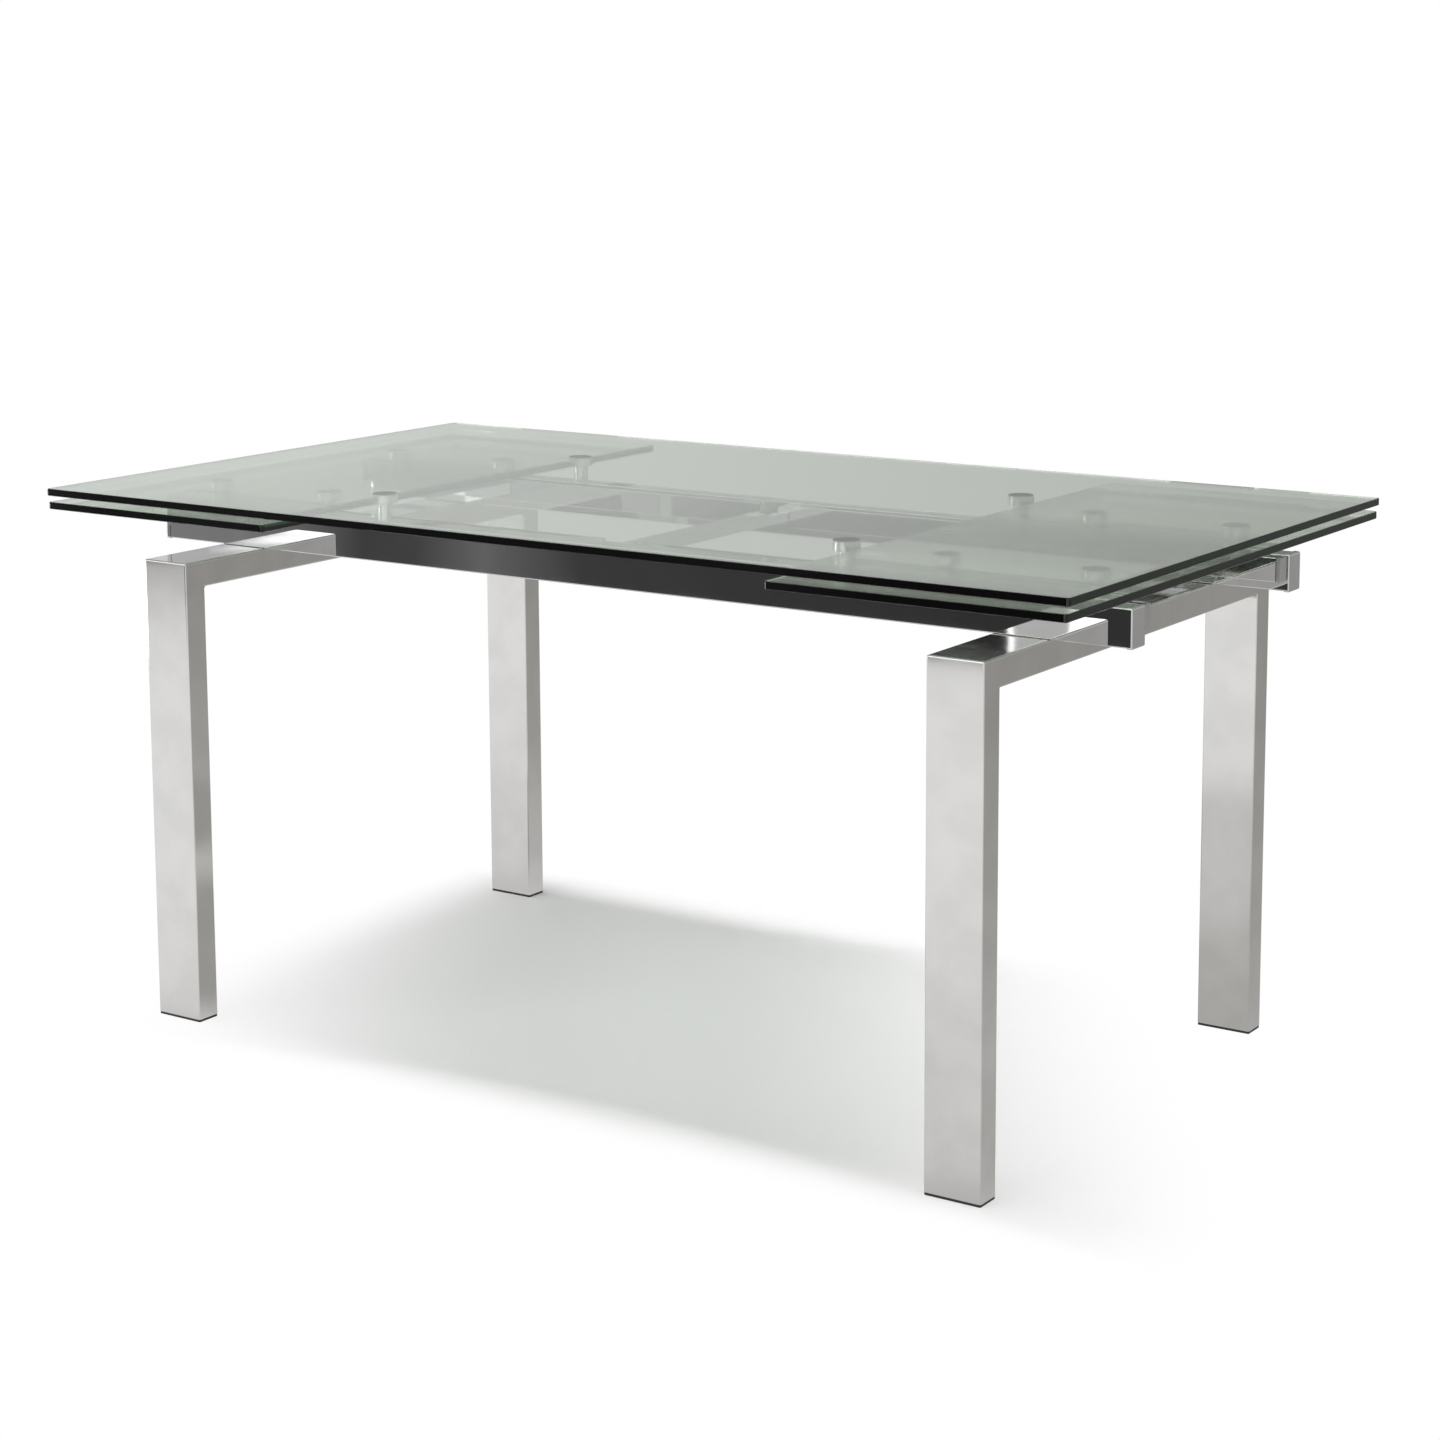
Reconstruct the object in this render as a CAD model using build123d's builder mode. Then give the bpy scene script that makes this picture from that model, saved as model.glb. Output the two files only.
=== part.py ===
"""Extendable dining table: a fixed glass top over two glass leaves that pull out at the ends.

Two portals of rectangular steel tube carry two polished rails. The top stands on posts on the
rails. Each leaf stands on bosses on two slide bars, which run in channels beside the rails.
Origin on the floor under the middle of the table. X runs along the table, +Z is up, and -Y is
the front. All sizes are in millimetres, with both leaves pushed in.
"""

import os

from build123d import *

os.makedirs("parts", exist_ok=True)

# Overall size with the leaves in
table_length = 1600.0
table_width = 900.0
table_height = 750.0

# Glass
top_thickness = 10.0
leaf_thickness = 10.0
leaf_length = 400.0
leaf_end_inset = 3.0
leaf_gap = 8.5
leaf_travel = 400.0
glass_corner = 4.0
glass_arris = 0.8

# Portals: legs and end beams of the same tube, mitred and welded at the corners
tube_width = 78.0
tube_depth = 37.0
tube_wall = 2.0
tube_corner = 2.5
weld_radius = 6.0
leg_end_inset = 134.0
leg_side_inset = 52.0

# Feet
foot_thickness = 3.5
foot_inset = 0.3
foot_plug_height = 20.0
foot_plug_wall = 2.5
plug_clearance = 0.2

# Rails
rail_width = 32.0
rail_height = 48.0
rail_wall = 2.0
rail_corner = 1.5
rail_spread = 484.0
rail_end_inset = 24.0
cap_thickness = 8.0
cap_overhang = 1.0
cap_round = 2.5
cap_plug_length = 18.0
cap_plug_wall = 2.5

# Bar across the middle, between the rails
cross_bar_width = 48.0
cross_bar_height = 12.0
cross_bar_drop = 11.0

# Posts and discs under the top
post_diameter = 21.0
post_height = 24.0
disc_diameter = 36.0
disc_thickness = 12.0
disc_chamfer = 1.0
pad_diameter = 34.0
pad_thickness = 1.0
disc_end_clearance = 5.0

# Slide channels
channel_width = 24.0
channel_height = 32.0
channel_wall = 2.0
channel_drop = 1.0
channel_slot = 11.0
channel_mouth_inset = 2.0
channel_tail_clearance = 2.0

# Slide bars, their nylon shoes and mouth glides, and their end caps
bar_gap = 2.0
bar_tail_clearance = 6.0
bar_mouth_clearance = 0.5
slide_clearance = 0.3
shoe_length = 40.0
shoe_end = 4.0
glide_length = 30.0
slide_cap_thickness = 5.5
slide_cap_inset = 1.5
slide_cap_chamfer = 1.0
slide_cap_spigot = 8.0
slide_cap_spigot_length = 12.0

# Bosses under the leaves
boss_inner_inset = 103.0
boss_outer_inset = 92.0
boss_neck_diameter = 18.0
boss_spigot_diameter = 9.0
boss_rise = 1.5

# Fasteners
hole_clearance = 0.25
rail_bolt_diameter = 8.0
rail_bolt_pitch = 40.0
rail_bolt_head_diameter = 14.0
rail_bolt_head_height = 4.5
rail_nut_across_flats = 13.0
rail_nut_height = 6.5
rail_bolt_spare = 1.5
post_screw_diameter = 8.0
post_screw_head_diameter = 13.0
post_screw_head_height = 5.0
post_screw_grip = 8.0
access_hole_diameter = 16.0
boss_screw_diameter = 5.0
boss_screw_head_diameter = 8.5
boss_screw_head_height = 5.0
boss_screw_grip = 9.0
channel_screw_diameter = 4.0
channel_screw_head_diameter = 7.0
channel_screw_reach = 3.0
channel_screw_count = 3
channel_screw_end_inset = 70.0
stop_screw_diameter = 5.0
stop_screw_head_diameter = 8.5
stop_screw_head_height = 3.0
socket_across_flats = 4.0
socket_depth = 2.5

# Heights, from the top down
top_underside = table_height - top_thickness
rail_top = top_underside - pad_thickness - disc_thickness - post_height
rail_bottom = rail_top - rail_height
rail_middle = (rail_top + rail_bottom) / 2
beam_top = rail_bottom
beam_middle = beam_top - tube_depth / 2
beam_bottom = beam_top - tube_depth
disc_bottom = rail_top + post_height
disc_top = disc_bottom + disc_thickness
leaf_top = top_underside - leaf_gap
leaf_underside = leaf_top - leaf_thickness
boss_top = leaf_underside - pad_thickness
boss_disc_bottom = boss_top - disc_thickness
channel_top = rail_top - channel_drop
channel_bottom = channel_top - channel_height
channel_middle = (channel_top + channel_bottom) / 2
bar_height = channel_height - 2 * channel_wall - 2 * bar_gap
bar_top = channel_middle + bar_height / 2
bar_bottom = channel_middle - bar_height / 2
cross_bar_top = rail_top - cross_bar_drop

# Places along X, from the middle out
leg_x = table_length / 2 - leg_end_inset - tube_width / 2
rail_cap_end = table_length / 2 - rail_end_inset
rail_end = rail_cap_end - cap_thickness
leaf_end = table_length / 2 - leaf_end_inset
leaf_start = leaf_end - leaf_length
post_x = leaf_start - disc_end_clearance - disc_diameter / 2
channel_start = cross_bar_width / 2 + channel_tail_clearance
channel_end = rail_end - channel_mouth_inset
bar_start = channel_start + bar_tail_clearance
bar_end = channel_end + bar_mouth_clearance
shoe_mouth_side = bar_start - shoe_end + shoe_length
stop_x = shoe_mouth_side + leaf_travel + slide_clearance + stop_screw_diameter / 2
boss_places = (leaf_start + boss_inner_inset, leaf_end - boss_outer_inset)

# Places along Y, from the middle out
leg_outer_y = table_width / 2 - leg_side_inset
leg_y = leg_outer_y - tube_depth / 2
leg_inner_y = leg_outer_y - tube_depth
rail_y = rail_spread / 2 - rail_width / 2
rail_inner_y = rail_spread / 2 - rail_width
channel_y = rail_inner_y - channel_width / 2
bar_width = channel_width - 2 * channel_wall - 2 * bar_gap

ends = (("left", -1), ("right", 1))
sides = (("front", -1), ("back", 1))
lower = (Align.CENTER, Align.CENTER, Align.MIN)
upper = (Align.CENTER, Align.CENTER, Align.MAX)


def save(piece, name):
    """Label a finished piece and write it out under the same name."""
    piece.part.label = name
    export_step(piece.part, f"parts/{name}.step")


def span(end, inner, outer):
    """Lower X and length of a stretch from inner to outer, counted from the table's middle."""
    start = inner if end > 0 else -outer
    return start, outer - inner


def corners(x, y):
    """The four points at that distance each way from the table's middle."""
    return [(end * x, side * y) for _, end in ends for _, side in sides]


def inner_corner(corner, wall):
    """Corner radius inside a tube, never quite sharp."""
    return max(corner - wall, wall / 4)


def tube_bore(width, depth, wall, corner, mode=Mode.ADD):
    """Inside of a rectangular tube, in the sketch in progress."""
    RectangleRounded(width - 2 * wall, depth - 2 * wall, inner_corner(corner, wall), mode=mode)


def plug_section(width, depth, wall, corner, plug_wall):
    """Hollow plug that fits inside such a tube, added to the sketch in progress."""
    plug_width = width - 2 * wall - 2 * plug_clearance
    plug_depth = depth - 2 * wall - 2 * plug_clearance
    RectangleRounded(plug_width, plug_depth, inner_corner(corner, wall))
    Rectangle(plug_width - 2 * plug_wall, plug_depth - 2 * plug_wall, mode=Mode.SUBTRACT)


def mitre(side):
    """Slanting plane through the portal's corner, facing the beam."""
    return Plane(origin=(0, side * leg_outer_y, beam_top), z_dir=(0, -side, 1))


def bolt_places():
    """Where the rails are bolted down, two bolts at each crossing."""
    along = [end * leg_x + step * rail_bolt_pitch / 2 for _, end in ends for step in (-1, 1)]
    return [(x, side * rail_y) for x in along for _, side in sides]


def channel_screw_places(end):
    """Where one channel is screwed to its rail, along X."""
    first = channel_start + channel_screw_end_inset
    last = channel_end - channel_screw_end_inset
    step = (last - first) / (channel_screw_count - 1)
    return [end * (first + step * turn) for turn in range(channel_screw_count)]


# Portals
def make_leg(end, side, name):
    """Leg tube, rounded at its top and cut there on the slant."""
    place = (end * leg_x, side * leg_y)
    leg_length = beam_top - foot_thickness
    with BuildPart() as leg:
        with BuildSketch(Plane.XY.offset(foot_thickness)):
            with Locations(place):
                RectangleRounded(tube_width, tube_depth, tube_corner)
        extrude(amount=leg_length)
        fillet(leg.faces().sort_by(Axis.Z)[-1].edges(), tube_corner)
        split(bisect_by=mitre(side), keep=Keep.BOTTOM)
        with BuildSketch(Plane.XY.offset(foot_thickness)):
            with Locations(place):
                tube_bore(tube_width, tube_depth, tube_wall, tube_corner)
        extrude(amount=leg_length, mode=Mode.SUBTRACT)
    save(leg, name)


def make_beam(end, name):
    """Beam across one end, rounded and cut on the slant at both legs, drilled for the rail bolts."""
    places = [place for place in bolt_places() if place[0] * end > 0]
    with BuildPart() as beam:
        with BuildSketch(Plane.XZ.offset(-leg_outer_y)):
            with Locations((end * leg_x, beam_middle)):
                RectangleRounded(tube_width, tube_depth, tube_corner)
        extrude(amount=2 * leg_outer_y)
        fillet(beam.faces().filter_by(Axis.Y).edges(), tube_corner)
        for _, side in sides:
            split(bisect_by=mitre(side), keep=Keep.TOP)
        with BuildSketch(Plane.XZ.offset(-leg_outer_y)):
            with Locations((end * leg_x, beam_middle)):
                tube_bore(tube_width, tube_depth, tube_wall, tube_corner)
        extrude(amount=2 * leg_outer_y, mode=Mode.SUBTRACT)
        with BuildSketch(Plane.XY.offset(beam_bottom)):
            with Locations(places):
                Circle(access_hole_diameter / 2)
        extrude(amount=tube_wall, mode=Mode.SUBTRACT)
        with BuildSketch(Plane.XY.offset(beam_top - tube_wall)):
            with Locations(places):
                Circle(rail_bolt_diameter / 2 + hole_clearance)
        extrude(amount=tube_wall, mode=Mode.SUBTRACT)
    save(beam, name)


def make_corner_welds():
    """Welds ground to a round inside the portals' corners, on the flats of the tubes."""
    weld_length = tube_width - 2 * tube_corner
    with BuildPart() as welds:
        for _, end in ends:
            with BuildSketch(Plane.YZ.offset(end * leg_x - weld_length / 2)):
                for _, side in sides:
                    with BuildLine():
                        on_beam = (side * (leg_inner_y - weld_radius), beam_bottom)
                        on_leg = (side * leg_inner_y, beam_bottom - weld_radius)
                        Polyline(on_beam, (side * leg_inner_y, beam_bottom), on_leg)
                        RadiusArc(on_leg, on_beam, -side * weld_radius)
                    make_face()
            extrude(amount=weld_length)
    save(welds, "corner_welds")


def make_foot(end, side, name):
    """Foot pad with a hollow plug that fits up inside the leg."""
    place = (end * leg_x, side * leg_y)
    with BuildPart() as foot:
        with BuildSketch():
            with Locations(place):
                RectangleRounded(tube_width - 2 * foot_inset, tube_depth - 2 * foot_inset, tube_corner)
        extrude(amount=foot_thickness)
        chamfer(foot.edges().group_by(Axis.Z)[0], foot_inset / 2)
        with BuildSketch(Plane.XY.offset(foot_thickness)):
            with Locations(place):
                plug_section(tube_width, tube_depth, tube_wall, tube_corner, foot_plug_wall)
        extrude(amount=foot_plug_height)
    save(foot, name)


# Rails
def make_rail(side, name):
    """Rail tube, drilled for its bolts, the posts' screws and the channels' screws."""
    with BuildPart() as rail:
        with BuildSketch(Plane.YZ.offset(-rail_end)):
            with Locations((side * rail_y, rail_middle)):
                RectangleRounded(rail_width, rail_height, rail_corner)
                tube_bore(rail_width, rail_height, rail_wall, rail_corner, Mode.SUBTRACT)
        extrude(amount=2 * rail_end)
        with BuildSketch(Plane.XY.offset(rail_bottom)):
            with Locations([place for place in bolt_places() if place[1] * side > 0]):
                Circle(rail_bolt_diameter / 2 + hole_clearance)
            with Locations([(end * post_x, side * rail_y) for _, end in ends]):
                Circle(access_hole_diameter / 2)
        extrude(amount=rail_wall, mode=Mode.SUBTRACT)
        with BuildSketch(Plane.XY.offset(rail_top - rail_wall)):
            with Locations([(end * post_x, side * rail_y) for _, end in ends]):
                Circle(post_screw_diameter / 2 + hole_clearance)
        extrude(amount=rail_wall, mode=Mode.SUBTRACT)
        for _, end in ends:
            wall_middle = side * (rail_inner_y + rail_wall / 2)
            with Locations([(x, wall_middle, channel_middle) for x in channel_screw_places(end)]):
                Cylinder(channel_screw_diameter / 2 + hole_clearance, 2 * rail_wall,
                         rotation=(90, 0, 0), mode=Mode.SUBTRACT)
    save(rail, name)


def make_rail_cap(end, side, name):
    """Rounded plate that closes a rail's end, with a hollow plug inside the tube."""
    plate_start, _ = span(end, rail_end, rail_cap_end)
    plug_start, _ = span(end, rail_end - cap_plug_length, rail_end)
    with BuildPart() as cap:
        with BuildSketch(Plane.YZ.offset(plate_start)):
            with Locations((side * rail_y, rail_middle)):
                RectangleRounded(rail_width + 2 * cap_overhang, rail_height + 2 * cap_overhang,
                                 rail_corner + cap_overhang)
        extrude(amount=cap_thickness)
        outer_face = cap.faces().sort_by(Axis.X)[-1 if end > 0 else 0]
        fillet(outer_face.edges(), cap_round)
        with BuildSketch(Plane.YZ.offset(plug_start)):
            with Locations((side * rail_y, rail_middle)):
                plug_section(rail_width, rail_height, rail_wall, rail_corner, cap_plug_wall)
        extrude(amount=cap_plug_length)
    save(cap, name)


def make_cross_bar():
    """Flat bar that ties the rails together at the middle."""
    with BuildPart() as bar:
        with Locations((0, 0, cross_bar_top)):
            Box(cross_bar_width, 2 * rail_inner_y, cross_bar_height, align=upper)
        fillet(bar.edges().filter_by(Axis.Y), rail_corner)
    save(bar, "centre_cross_bar")


def make_rail_bolts():
    """Button-head bolts inside the end beams, up into nuts in the rails."""
    seat = beam_top - tube_wall
    shank = tube_wall + rail_wall + rail_nut_height + rail_bolt_spare
    with BuildPart() as bolts:
        with Locations([(x, y, seat) for x, y in bolt_places()]):
            Cylinder(rail_bolt_diameter / 2, shank, align=lower)
            Cylinder(rail_bolt_head_diameter / 2, rail_bolt_head_height, align=upper)
        fillet(bolts.edges().group_by(Axis.Z)[0], rail_bolt_head_height / 2)
        with BuildSketch(Plane.XY.offset(seat - rail_bolt_head_height)):
            with Locations(bolt_places()):
                RegularPolygon(socket_across_flats / 2, 6, major_radius=False)
        extrude(amount=socket_depth, mode=Mode.SUBTRACT)
    save(bolts, "rail_bolts")


def make_rail_nuts():
    """Hexagon nuts on the rails' floors."""
    with BuildPart() as nuts:
        with BuildSketch(Plane.XY.offset(rail_bottom + rail_wall)):
            with Locations(bolt_places()):
                RegularPolygon(rail_nut_across_flats / 2, 6, major_radius=False)
                Circle(rail_bolt_diameter / 2 + hole_clearance, mode=Mode.SUBTRACT)
        extrude(amount=rail_nut_height)
    save(nuts, "rail_nuts")


# Top
def make_pane(length, thickness, middle_x, upper_face, name):
    """Sheet of glass with small round corners and a polished arris."""
    with BuildPart() as pane:
        with Locations((middle_x, 0, upper_face)):
            Box(length, table_width, thickness, align=upper)
        fillet(pane.edges().filter_by(Axis.Z), glass_corner)
        rims = pane.edges().group_by(Axis.Z)
        chamfer(rims[0] + rims[-1], glass_arris)
    save(pane, name)


def make_top_post(end, side, name):
    """Post on a rail, bored for the screw that clamps it."""
    with BuildPart() as post:
        with Locations((end * post_x, side * rail_y, rail_top)):
            Cylinder(post_diameter / 2, post_height, align=lower)
            Cylinder(post_screw_diameter / 2 + hole_clearance, post_height, align=lower,
                     mode=Mode.SUBTRACT)
    save(post, name)


def make_top_discs():
    """Discs bonded under the top, each with a blind hole for its post's screw."""
    with BuildPart() as discs:
        with Locations([(x, y, disc_bottom) for x, y in corners(post_x, rail_y)]):
            Cylinder(disc_diameter / 2, disc_thickness, align=lower)
        chamfer(discs.edges().group_by(Axis.Z)[0], disc_chamfer)
        with Locations([(x, y, disc_bottom) for x, y in corners(post_x, rail_y)]):
            Cylinder(post_screw_diameter / 2 + hole_clearance, post_screw_grip + hole_clearance,
                     align=lower, mode=Mode.SUBTRACT)
    save(discs, "top_discs")


def make_pads(places, bottom, name):
    """Bonding pads between discs and glass."""
    with BuildPart() as pads:
        with Locations([(x, y, bottom) for x, y in places]):
            Cylinder(pad_diameter / 2, pad_thickness, align=lower)
    save(pads, name)


def make_top_post_screws():
    """Long screws from inside the rails, through the posts and into the discs."""
    seat = rail_top - rail_wall
    places = corners(post_x, rail_y)
    with BuildPart() as screws:
        with Locations([(x, y, seat) for x, y in places]):
            Cylinder(post_screw_diameter / 2, rail_wall + post_height + post_screw_grip, align=lower)
            Cylinder(post_screw_head_diameter / 2, post_screw_head_height, align=upper)
        with BuildSketch(Plane.XY.offset(seat - post_screw_head_height)):
            with Locations(places):
                RegularPolygon(socket_across_flats / 2, 6, major_radius=False)
        extrude(amount=socket_depth, mode=Mode.SUBTRACT)
    save(screws, "top_post_screws")


# Slide channels
def make_channel(end, side, name):
    """Channel beside a rail, slotted along its top, countersunk for its screws."""
    start, length = span(end, channel_start, channel_end)
    slot_middle = channel_top - channel_wall / 2
    sink_depth = (channel_screw_head_diameter - channel_screw_diameter) / 2
    inner_face = side * (rail_inner_y - channel_wall)
    with BuildPart() as channel:
        with BuildSketch(Plane.YZ.offset(start)):
            with Locations((side * channel_y, channel_middle)):
                RectangleRounded(channel_width, channel_height, channel_wall / 2)
                Rectangle(channel_width - 2 * channel_wall, channel_height - 2 * channel_wall,
                          mode=Mode.SUBTRACT)
            with Locations((side * channel_y, slot_middle)):
                Rectangle(channel_slot, 2 * channel_wall, mode=Mode.SUBTRACT)
        extrude(amount=length)
        with Locations([(x, inner_face, channel_middle) for x in channel_screw_places(end)]):
            Cylinder(channel_screw_diameter / 2 + hole_clearance, channel_wall, align=lower,
                     rotation=(-90 * side, 0, 0), mode=Mode.SUBTRACT)
            Cone(channel_screw_head_diameter / 2 + hole_clearance,
                 channel_screw_diameter / 2 + hole_clearance, sink_depth, align=lower,
                 rotation=(-90 * side, 0, 0), mode=Mode.SUBTRACT)
        with BuildSketch(Plane.XY.offset(channel_bottom)):
            with Locations((end * stop_x, side * channel_y)):
                Circle(stop_screw_diameter / 2 + hole_clearance)
        extrude(amount=channel_wall, mode=Mode.SUBTRACT)
    save(channel, name)


def make_channel_screws():
    """Countersunk screws from inside the channels into the rails' inner walls."""
    sink_depth = (channel_screw_head_diameter - channel_screw_diameter) / 2
    with BuildPart() as screws:
        for _, side in sides:
            face = side * (rail_inner_y - channel_wall)
            for _, end in ends:
                with Locations([(x, face, channel_middle) for x in channel_screw_places(end)]):
                    Cone(channel_screw_head_diameter / 2, channel_screw_diameter / 2, sink_depth,
                         align=lower, rotation=(-90 * side, 0, 0))
                    Cylinder(channel_screw_diameter / 2,
                             channel_wall + rail_wall + channel_screw_reach, align=lower,
                             rotation=(-90 * side, 0, 0))
    save(screws, "channel_screws")


def make_mouth_glides():
    """Nylon liners in the channels' mouths, open along the slot."""
    inner_width = bar_width + 2 * slide_clearance
    inner_height = bar_height + 2 * slide_clearance
    with BuildPart() as glides:
        for _, end in ends:
            start, length = span(end, channel_end - glide_length, channel_end)
            with BuildSketch(Plane.YZ.offset(start)):
                with Locations([(side * channel_y, channel_middle) for _, side in sides]):
                    Rectangle(channel_width - 2 * channel_wall, channel_height - 2 * channel_wall)
                    Rectangle(inner_width, inner_height, mode=Mode.SUBTRACT)
                with Locations([(side * channel_y, bar_top + bar_gap / 2) for _, side in sides]):
                    Rectangle(channel_slot, 2 * bar_gap, mode=Mode.SUBTRACT)
            extrude(amount=length)
    save(glides, "mouth_glides")


def make_stop_screws():
    """Screws up through the channels' floors that stop the shoes at full reach."""
    tip = bar_bottom - slide_clearance
    with BuildPart() as screws:
        with Locations([(x, y, channel_bottom) for x, y in corners(stop_x, channel_y)]):
            Cylinder(stop_screw_diameter / 2, tip - channel_bottom, align=lower)
            Cylinder(stop_screw_head_diameter / 2, stop_screw_head_height, align=upper)
        with BuildSketch(Plane.XY.offset(channel_bottom - stop_screw_head_height)):
            with Locations(corners(stop_x, channel_y)):
                RegularPolygon(socket_across_flats / 2, 6, major_radius=False)
        extrude(amount=stop_screw_head_height / 2, mode=Mode.SUBTRACT)
    save(screws, "stop_screws")


# Leaves
def make_slide_bar(end, side, name):
    """Bar that carries one side of a leaf, counterbored below for the bosses' screws."""
    start, length = span(end, bar_start, bar_end)
    spigot_depth = slide_cap_spigot_length + hole_clearance
    spigot_start, _ = span(end, bar_end - spigot_depth, bar_end)
    with BuildPart() as bar:
        with BuildSketch(Plane.YZ.offset(start)):
            with Locations((side * channel_y, channel_middle)):
                Rectangle(bar_width, bar_height)
        extrude(amount=length)
        with BuildSketch(Plane.XY.offset(bar_bottom)):
            with Locations([(end * x, side * channel_y) for x in boss_places]):
                Circle(boss_screw_diameter / 2 + hole_clearance)
        extrude(amount=bar_height, mode=Mode.SUBTRACT)
        with BuildSketch(Plane.XY.offset(bar_bottom)):
            with Locations([(end * x, side * channel_y) for x in boss_places]):
                Circle(boss_screw_head_diameter / 2 + hole_clearance)
        extrude(amount=boss_screw_head_height + hole_clearance, mode=Mode.SUBTRACT)
        with BuildSketch(Plane.YZ.offset(spigot_start)):
            with Locations((side * channel_y, channel_middle)):
                Circle(slide_cap_spigot / 2 + hole_clearance)
        extrude(amount=spigot_depth, mode=Mode.SUBTRACT)
    save(bar, name)


def make_slide_shoes(end, name):
    """Nylon shoes over the inner ends of a leaf's two bars."""
    outer_width = channel_width - 2 * channel_wall - 2 * slide_clearance
    outer_height = channel_height - 2 * channel_wall - 2 * slide_clearance
    outer_start, outer_length = span(end, bar_start - shoe_end, shoe_mouth_side)
    pocket_start, pocket_length = span(end, bar_start, shoe_mouth_side)
    places = [(side * channel_y, channel_middle) for _, side in sides]
    with BuildPart() as shoes:
        with BuildSketch(Plane.YZ.offset(outer_start)):
            with Locations(places):
                Rectangle(outer_width, outer_height)
        extrude(amount=outer_length)
        with BuildSketch(Plane.YZ.offset(pocket_start)):
            with Locations(places):
                Rectangle(bar_width, bar_height)
        extrude(amount=pocket_length, mode=Mode.SUBTRACT)
    save(shoes, name)


def make_slide_cap(end, side, name):
    """Plate on the outer end of a slide bar, on a spigot pushed into the bar."""
    start, length = span(end, bar_end, bar_end + slide_cap_thickness)
    spigot_start, spigot_length = span(end, bar_end - slide_cap_spigot_length, bar_end)
    with BuildPart() as cap:
        with BuildSketch(Plane.YZ.offset(start)):
            with Locations((side * channel_y, channel_middle)):
                Rectangle(channel_width - 2 * slide_cap_inset, channel_height)
        extrude(amount=length)
        outer_face = cap.faces().sort_by(Axis.X)[-1 if end > 0 else 0]
        chamfer(outer_face.edges(), slide_cap_chamfer)
        with BuildSketch(Plane.YZ.offset(spigot_start)):
            with Locations((side * channel_y, channel_middle)):
                Circle(slide_cap_spigot / 2)
        extrude(amount=spigot_length)
    save(cap, name)


def make_boss(end, side, place, name):
    """Turned boss bonded under a leaf: disc, neck, and a spigot through the channel's slot."""
    middle = (end * place, side * channel_y)
    neck_bottom = channel_top + boss_rise
    with BuildPart() as boss:
        with Locations((*middle, boss_top)):
            Cylinder(disc_diameter / 2, disc_thickness, align=upper)
        chamfer(boss.edges().group_by(Axis.Z)[0], disc_chamfer)
        with Locations((*middle, neck_bottom)):
            Cylinder(boss_neck_diameter / 2, boss_disc_bottom - neck_bottom, align=lower)
        with Locations((*middle, bar_top)):
            Cylinder(boss_spigot_diameter / 2, neck_bottom - bar_top, align=lower)
            Cylinder(boss_screw_diameter / 2 + hole_clearance, boss_screw_grip + hole_clearance,
                     align=lower, mode=Mode.SUBTRACT)
    save(boss, name)


def make_boss_screws(end, name):
    """Screws up through a leaf's bars into its bosses, heads sunk in the bars."""
    seat = bar_bottom + boss_screw_head_height + hole_clearance
    places = [(end * x, side * channel_y) for x in boss_places for _, side in sides]
    with BuildPart() as screws:
        with Locations([(x, y, seat) for x, y in places]):
            Cylinder(boss_screw_diameter / 2, bar_top - seat + boss_screw_grip, align=lower)
            Cylinder(boss_screw_head_diameter / 2, boss_screw_head_height, align=upper)
        with BuildSketch(Plane.XY.offset(seat - boss_screw_head_height)):
            with Locations(places):
                RegularPolygon(socket_across_flats / 2, 6, major_radius=False)
        extrude(amount=socket_depth, mode=Mode.SUBTRACT)
    save(screws, name)


# The fixed table
make_cross_bar()
make_rail_bolts()
make_rail_nuts()
make_corner_welds()
make_pane(table_length, top_thickness, 0, table_height, "top_glass")
make_top_discs()
make_pads(corners(post_x, rail_y), disc_top, "top_disc_pads")
make_top_post_screws()
make_channel_screws()
make_mouth_glides()
make_stop_screws()
for side_name, side in sides:
    make_rail(side, f"rail_{side_name}")
for end_name, end in ends:
    make_beam(end, f"end_beam_{end_name}")
    for side_name, side in sides:
        corner_name = f"{side_name}_{end_name}"
        make_leg(end, side, f"leg_{corner_name}")
        make_foot(end, side, f"foot_{corner_name}")
        make_rail_cap(end, side, f"rail_cap_{corner_name}")
        make_top_post(end, side, f"top_post_{corner_name}")
        make_channel(end, side, f"slide_channel_{corner_name}")

# The two leaves
for end_name, end in ends:
    leaf_middle = end * (leaf_start + leaf_end) / 2
    boss_points = [(end * x, side * channel_y) for x in boss_places for _, side in sides]
    make_pane(leaf_length, leaf_thickness, leaf_middle, leaf_top, f"{end_name}_leaf_glass")
    make_pads(boss_points, boss_top, f"{end_name}_leaf_pads")
    make_slide_shoes(end, f"{end_name}_slide_shoes")
    make_boss_screws(end, f"{end_name}_boss_screws")
    for side_name, side in sides:
        make_slide_bar(end, side, f"{end_name}_slide_bar_{side_name}")
        make_slide_cap(end, side, f"{end_name}_slide_cap_{side_name}")
        for place_name, place in zip(("inner", "outer"), boss_places):
            make_boss(end, side, place, f"{end_name}_boss_{place_name}_{side_name}")
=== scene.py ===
"""Looks of the extendable dining table: a finish for every part, and a white studio."""

import math

import bpy
from bpy.props import FloatProperty, FloatVectorProperty, PointerProperty
from mathutils import Matrix, Vector

bl_info = {
    "name": "Extendable dining table",
    "version": (1, 0, 0),
    "blender": (4, 5, 0),
    "location": "View3D > Sidebar > Table",
    "description": "Finishes and studio for a glass table with two sliding leaves",
    "category": "Object",
}

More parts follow.
